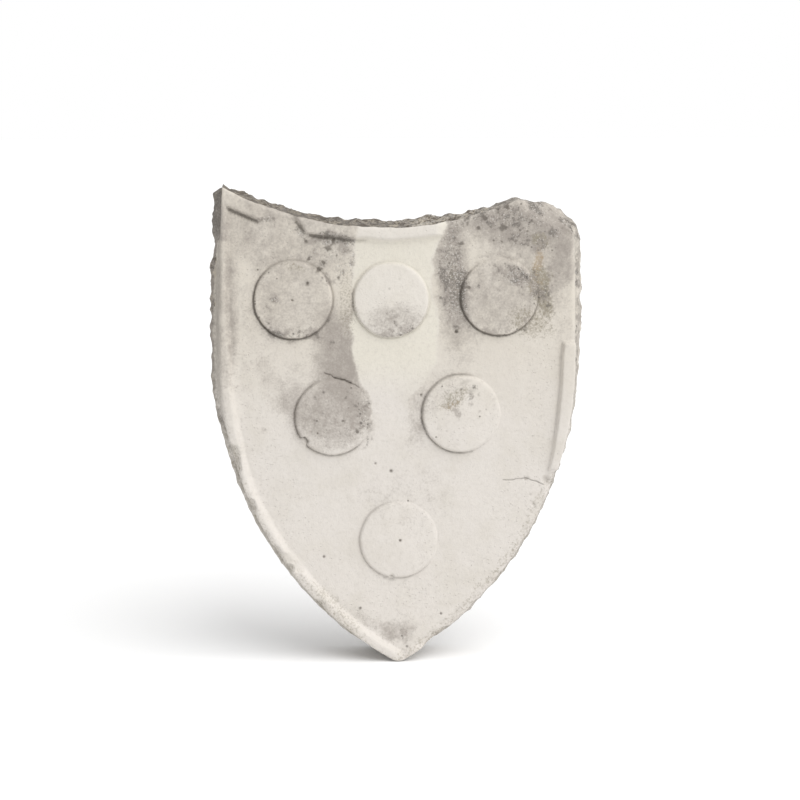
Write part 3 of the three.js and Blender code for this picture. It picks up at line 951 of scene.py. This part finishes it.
def paleStone():
    material = bpy.data.materials.new("paleStone")
    material.use_nodes = True
    Wire.tree = material.node_tree
    Wire.tree.nodes.clear()
    place = Wire.node("TexCoord", output=3)

    def noise(millimetres, detail=3, roughness=0.55):
        inputs = {"Vector": place, "Scale": 1000 / millimetres, "Detail": detail, "Roughness": roughness}
        return Wire.node("TexNoise", {}, inputs)

    def cells(millimetres, output=0):
        return Wire.node("TexVoronoi", {}, {"Vector": place, "Scale": 1000 / millimetres}, output)

    def dots(millimetres, amount, small, large):
        # round marks in some of the cells of a scattered pattern: more cells have one as amount rises
        present = rising(amount - cells(millimetres, 1), -0.12, 0.06)
        return present * (1 - rising(cells(millimetres) + 0.12 * noise(millimetres / 3), small, large))

    def speckled(amount, grain, spread, low, high):
        # breaks a soft value up into grains, and leaves none where it is 0
        return rising(amount + spread * (grain - 0.5), low, high) * rising(amount, 0.01, 0.1)

    tone = stoneFinish
    fine, small = noise(2.4, 4, 0.7), noise(4.5, 4, 0.65)
    medium, broad = noise(11, 4, 0.6), noise(38, 5, 0.6)
    colour = tinted(tone["clean"], tone["warm"], rising(broad, 0.42, 0.72))
    colour = tinted(colour, tone["beige"], mark("beige"))
    colour = tinted(colour, tone["cream"], mark("cream") * 0.8)
    colour = tinted(colour, tone["shade"], rising(small, 0.48, 0.78) * 0.4)
    colour = tinted(colour, tone["shade"], rising(fine, 0.5, 0.75) * 0.35)
    # each stain: its colour, the mark it follows, the noise that breaks it up and how strongly, and the two
    # values between which it comes in
    mixed = 0.5 * fine + 0.5 * medium
    colour = tinted(colour, tone["grey"], speckled(mark("grey"), mixed, 1.7, 0.08, 1.0) * 0.95)
    colour = tinted(colour, tone["olive"], speckled(mark("olive"), fine, 2.4, 0.05, 1.0) * 0.95)
    colour = tinted(colour, tone["rust"], speckled(mark("rust"), fine, 2.4, 0.15, 1.1) * 0.8)
    lichen = mark("lichen")
    half, tiny = lichen * 0.5, noise(1.9, 2, 0.6)
    colour = tinted(colour, tone["grey"], speckled(half, noise(15, 4, 0.6), 2.2, 0.25, 0.55) * 0.7)
    colour = tinted(colour, tone["darkGrey"], speckled(half, medium, 2.4, 0.42, 0.72) * 0.75)
    colour = tinted(colour, tone["darkGrey"], speckled(half, noise(2.9, 4, 0.75), 1.7, 0.34, 0.66) * 0.7)
    colour = tinted(colour, tone["fleck"], speckled(lichen * 0.42, tiny, 1.9, 0.46, 0.66) * 0.4)
    colour = tinted(colour, tone["lichen"], dots(5, half, 0.16, 0.40) * 0.8)
    colour = tinted(colour, tone["lichen"], dots(11, lichen * 0.34, 0.10, 0.28) * 0.8)
    brown = mark("brown")
    hollows = mark("hewn") * (1 - mark("ridge")) * rising(small, 0.3, 0.6)  # painted shade in the bottoms of the chisel marks
    colour = tinted(colour, tone["darkGrey"], hollows * 0.4)
    colour = tinted(colour, tone["crumb"], speckled(brown * 0.5, noise(8, 4, 0.7), 4.0, 0.3, 0.5) * 0.9)
    colour = tinted(colour, tone["brown"], speckled(brown, noise(6.5, 4, 0.7), 4.5, 0.75, 1.0) * 0.9)
    colour = tinted(colour, tone["lichen"], speckled(brown * 0.5, noise(3, 3, 0.6), 4.0, 0.55, 0.8) * 0.75)
    colour = tinted(colour, tone["lichen"], dots(7, 0.18, 0.04, 0.10) * 0.5)  # a few dark specks all over
    # painted shadow along the lower left of the roundels and under the top border, with some dirt
    colour = tinted(colour, tone["grime"], speckled(mark("soil"), noise(3.2, 4, 0.7), 1.6, 0.12, 0.9) * 0.75)
    # dirt with painted shade in the grooves, cracks and pits, and the dark spots
    colour = tinted(colour, tone["grime"], mark("grime") * (0.55 + 0.6 * small))
    low, high = tone["roughness"]
    rough = low + (high - low) * small
    height = 0.5 * fine + 0.6 * noise(8, 4, 0.6) - 0.7 * dots(3.4, 0.34, 0.1, 0.34)
    height = height + (mark("hewn") + 0.5 * lichen) * noise(5, 5, 0.7)
    grain = Wire.node("Bump", {}, {"Strength": 0.8, "Distance": tone["grainDepth"], "Height": height})
    shader = Wire.node("BsdfPrincipled", {}, {
        "Base Color": colour, "Roughness": rough, "Normal": grain, "Specular IOR Level": 0.35,
    })
    Wire.node("OutputMaterial", {}, {"Surface": shader})
    return material


def carve():
    mesh = bpy.data.meshes.new("shieldStone")
    mesh.from_pydata((points / 1000).tolist(), [], faces.tolist())
    for name, values in marks.items():
        layer = mesh.attributes.new(name, "FLOAT", "POINT")
        layer.data.foreach_set("value", values.astype(np.float32))
    mesh.shade_smooth()
    mesh.materials.append(paleStone())
    mesh.update()
    stone = bpy.data.objects.new("shieldStone", mesh)
    bpy.context.collection.objects.link(stone)
    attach(stone, "root")
    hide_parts("stone_shield")
    return stone


stone = carve()
print("shield carved")

studio = {
    "aim": (0.0035, -0.04, 0),
    "azimuth": -3.5,
    "elevation": 9,
    "distance": 2.6,
    "lens": 100,
    "sunAzimuth": 46,
    "sunElevation": 50,
    "sunAngle": 62,
    "sunStrength": 2.4,
    "ambient": 0.6,
    "floorColour": (0.98, 0.98, 0.98, 1),
    "floorSize": 30,
}


def facing(azimuth, elevation):  # from the object towards a place at that angle
    a, e = math.radians(azimuth), math.radians(elevation)
    return Vector((math.sin(a) * math.cos(e), -math.cos(a) * math.cos(e), math.sin(e)))


def setStudio():
    lens = bpy.data.cameras.new("camera")
    lens.lens = studio["lens"]
    lens.sensor_width = 36
    camera = bpy.data.objects.new("camera", lens)
    toward = facing(studio["azimuth"], studio["elevation"])
    camera.location = Vector(studio["aim"]) + toward * studio["distance"]
    camera.rotation_euler = toward.to_track_quat("Z", "Y").to_euler()
    bpy.context.collection.objects.link(camera)
    bpy.context.scene.camera = camera

    sun = bpy.data.lights.new("softSun", "SUN")
    sun.energy = studio["sunStrength"]
    sun.angle = math.radians(studio["sunAngle"])
    lamp = bpy.data.objects.new("softSun", sun)
    toSun = facing(studio["sunAzimuth"], studio["sunElevation"])
    lamp.rotation_euler = toSun.to_track_quat("Z", "Y").to_euler()
    bpy.context.collection.objects.link(lamp)

    world = bpy.data.worlds.new("studio")
    world.use_nodes = True
    Wire.tree = world.node_tree
    Wire.tree.nodes.clear()
    seen = Wire.node("LightPath")
    strength = studio["ambient"] + (1 - studio["ambient"]) * seen
    light = Wire.node("Background", {}, {"Color": (1, 1, 1, 1), "Strength": strength})
    Wire.node("OutputWorld", {}, {"Surface": light})
    bpy.context.scene.world = world
    bpy.context.scene.view_settings.view_transform = "Standard"


def layFloor():
    half = studio["floorSize"] / 2
    low = points[:, 2].min() / 1000
    corners = [(x, y, low) for x, y in ((-half, -half), (half, -half), (half, half), (-half, half))]
    mesh = bpy.data.meshes.new("floor")
    mesh.from_pydata(corners, [], [(0, 1, 2, 3)])
    material = bpy.data.materials.new("paleFloor")
    material.use_nodes = True
    Wire.tree = material.node_tree
    Wire.tree.nodes.clear()
    shader = Wire.node("BsdfPrincipled", {}, {"Base Color": studio["floorColour"], "Roughness": 1.0})
    Wire.node("OutputMaterial", {}, {"Surface": shader})
    mesh.materials.append(material)
    floor = bpy.data.objects.new("floor", mesh)
    bpy.context.collection.objects.link(floor)


setStudio()
layFloor()
print("studio set")
